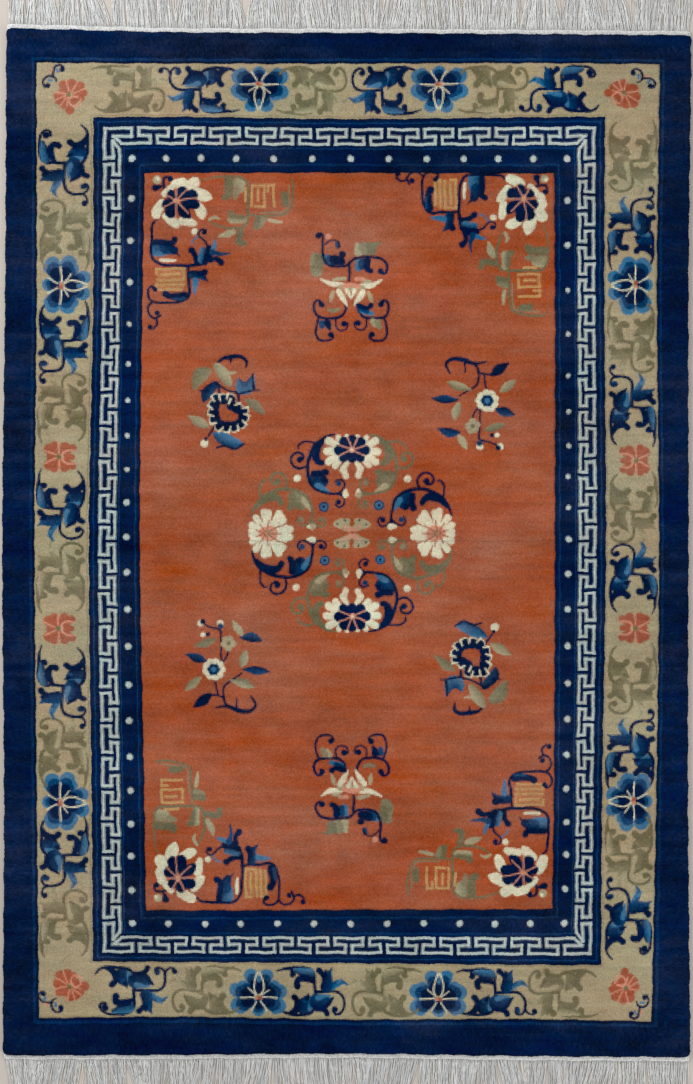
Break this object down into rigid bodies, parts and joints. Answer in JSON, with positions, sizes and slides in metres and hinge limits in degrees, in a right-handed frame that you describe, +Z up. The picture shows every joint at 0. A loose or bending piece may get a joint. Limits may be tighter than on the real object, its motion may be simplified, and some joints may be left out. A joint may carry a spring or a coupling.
{
  "type": "peking rug",
  "caption": "Hand-knotted Chinese wool rug lying flat, with carved scroll and fret borders, a terracotta field with a round medallion, and a cotton fringe at both ends.",
  "frame": {"origin": "on the floor, under the middle of the rug", "axes": "+Y along the rug to its far end, +X across it to its right as seen from above, +Z up from the floor"},
  "size_m": [1.2323, 1.9948, 0.012],
  "materials": {
    "wool_pile": "cut wool pile in terracotta, navy and beige, with a soft sheen",
    "cotton_fringe": "undyed plied cotton warp ends, matt"
  },
  "bodies": {
    "root": {"rug_body": "wool_pile", "fringe_far": "cotton_fringe", "fringe_near": "cotton_fringe"}
  },
  "joints": []
}
